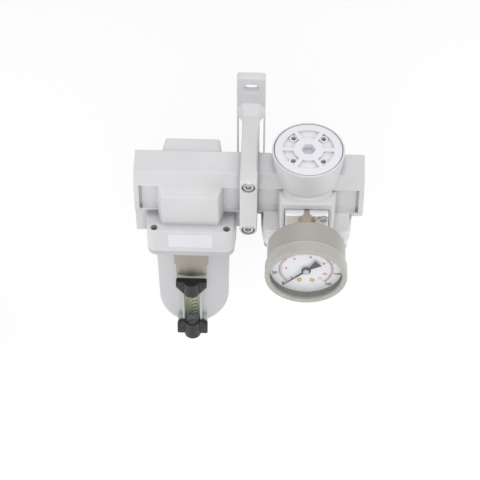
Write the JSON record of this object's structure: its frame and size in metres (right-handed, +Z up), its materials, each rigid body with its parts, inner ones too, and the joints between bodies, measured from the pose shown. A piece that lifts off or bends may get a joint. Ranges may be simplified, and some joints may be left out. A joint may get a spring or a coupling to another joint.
{
  "type": "air filter regulator",
  "caption": "Modular compressed air filter and pressure regulator on a T shaped wall bracket, with a metal bowl, a level sight, and a round dial gauge standing out in front",
  "frame": {"origin": "centre of the inlet port mouth, on the port axis", "axes": "+X runs along the air flow from the inlet to the outlet, +Y points to the wall, +Z is up with the bowl hanging down"},
  "size_m": [0.196, 0.163, 0.2634],
  "materials": {
    "body_paint": "off-white powder paint on an aluminium casting",
    "bowl_paint": "off-white paint on an aluminium bowl",
    "bracket_paint": "off-white powder paint on a casting",
    "white_plastic": "white moulded plastic, satin",
    "grey_plastic": "light grey moulded plastic, ribbed",
    "plate_film": "champagne anodised plate, satin",
    "black_plastic": "black moulded plastic",
    "zinc_steel": "zinc plated steel",
    "clear_tube": "clear level tube",
    "striped_film": "gold and green slanted stripes",
    "seal_rubber": "black nitrile rubber",
    "float_black": "black hollow ball",
    "dark_steel": "blackened steel",
    "brass": "machined brass",
    "aluminium": "plain machined aluminium",
    "sintered_white": "white sintered filter medium",
    "spring_steel": "bright spring wire",
    "case_paint": "warm grey stove enamel",
    "clear_lens": "clear flat lens",
    "dial_white": "white printed dial",
    "pointer_black": "matt black"
  },
  "bodies": {
    "housing": {"adjusting_spring": "spring_steel", "baffle": "white_plastic", "bonnet": "white_plastic", "bonnet_screws": "zinc_steel", "bourdon_tube": "brass", "bowl_seal": "seal_rubber", "clamp_bar": "bracket_paint", "clamp_screws": "zinc_steel", "deflector": "white_plastic", "dial_screws": "brass", "diaphragm": "seal_rubber", "element_rod": "zinc_steel", "filter_body": "body_paint", "filter_bowl": "bowl_paint", "filter_element": "sintered_white", "flange_screws": "zinc_steel", "gauge_bezel": "case_paint", "gauge_case": "case_paint", "gauge_dial": "dial_white", "gauge_fitting": "brass", "gauge_lens": "clear_lens", "gauge_movement": "brass", "guide_screws": "brass", "guide_seal": "seal_rubber", "joint_seals": "seal_rubber", "level_plate": "plate_film", "port_cover": "aluminium", "port_cover_screws": "zinc_steel", "regulator_body": "body_paint", "sight_bracket_lower": "black_plastic", "sight_bracket_screws": "dark_steel", "sight_bracket_upper": "black_plastic", "sight_glass": "clear_tube", "sight_reflector": "striped_film", "sight_seals": "seal_rubber", "t_bracket": "bracket_paint", "valve_guide": "white_plastic", "valve_spring": "spring_steel"},
    "adjuster": {"adjusting_screw": "zinc_steel"},
    "knob": {"knob": "grey_plastic"},
    "seat": {"spring_seat": "zinc_steel"},
    "valve_train": {"main_valve": "brass", "diaphragm_plate": "aluminium"},
    "pointer": {"gauge_pointer": "pointer_black", "pointer_hub": "zinc_steel"},
    "drain": {"drain_cock": "brass", "drain_seal": "seal_rubber"},
    "level_float": {"float_ball": "float_black"}
  },
  "joints": [
    {"name": "adjuster_turn", "type": "hinge", "parent": "housing", "child": "adjuster", "pos_m": [0.14775, 0, -0.096], "axis": [0, 0, 1], "range_deg": [0, 2160]},
    {"name": "knob_lock", "type": "slide", "parent": "adjuster", "child": "knob", "axis": [0, 0, -1], "range_m": [0, 0.003]},
    {"name": "seat_lift", "type": "slide", "parent": "housing", "child": "seat", "axis": [0, 0, 1], "range_m": [0, 0.009], "deforming": ["adjusting_spring"]},
    {"name": "valve_lift", "type": "slide", "parent": "housing", "child": "valve_train", "axis": [0, 0, 1], "range_m": [0, 0.0025], "stiffness_N_per_m": 900, "deforming": ["valve_spring", "diaphragm"]},
    {"name": "pointer_turn", "type": "hinge", "parent": "housing", "child": "pointer", "pos_m": [0.14775, -0.0945, 0], "axis": [0, 1, 0], "range_deg": [0, 270], "stiffness_Nm_per_rad": 0.002},
    {"name": "drain_turn", "type": "hinge", "parent": "housing", "child": "drain", "pos_m": [0.04825, 0, -0.172], "axis": [0, 0, 1], "range_deg": [0, 90]},
    {"name": "float_rise", "type": "slide", "parent": "housing", "child": "level_float", "axis": [0, 0, 1], "range_m": [0, 0.034]}
  ],
  "couplings": [
    {"joint": "seat_lift", "follows": "adjuster_turn", "m_per_rad": 0.00023873}
  ]
}
